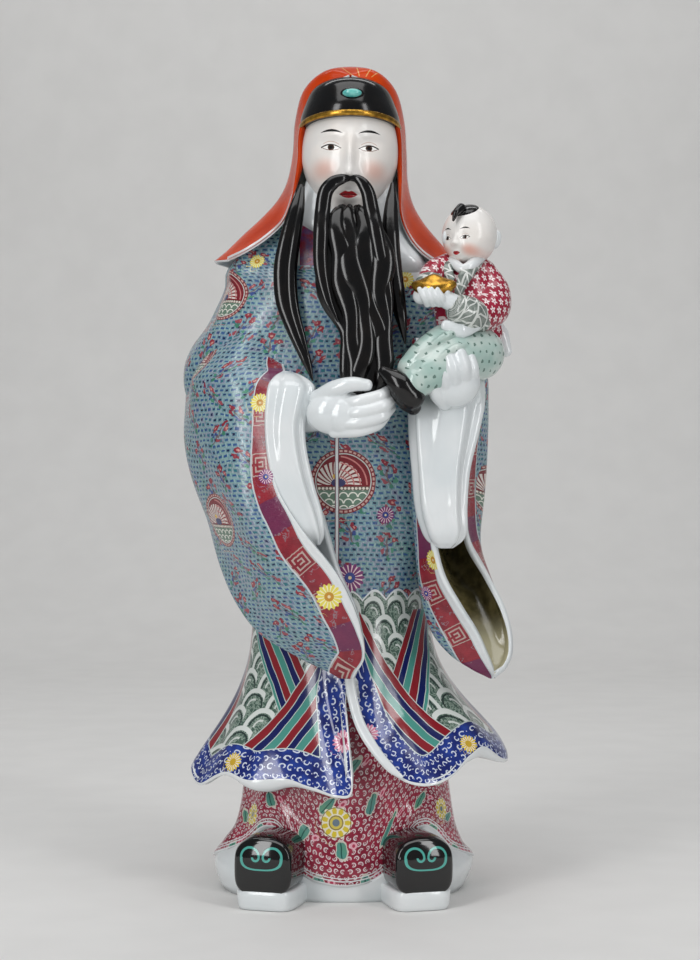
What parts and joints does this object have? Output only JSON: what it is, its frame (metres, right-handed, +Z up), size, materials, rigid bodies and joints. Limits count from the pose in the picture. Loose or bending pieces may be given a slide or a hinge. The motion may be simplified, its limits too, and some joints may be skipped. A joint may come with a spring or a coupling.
{
  "type": "porcelain star god statue",
  "caption": "Glazed porcelain standing figure of a bearded star god in court robes and hood, holding a child with a gold ingot, on a flat foot.",
  "frame": {"origin": "middle of the flat underside, on the surface that the figure stands on", "axes": "+Z up; the figure faces -Y; +X is to the right of someone who looks at its face"},
  "size_m": [0.2386, 0.2005, 0.6016],
  "materials": {
    "porcelain": "gloss"
  },
  "bodies": {
    "root": {"statue": "porcelain"}
  },
  "joints": []
}
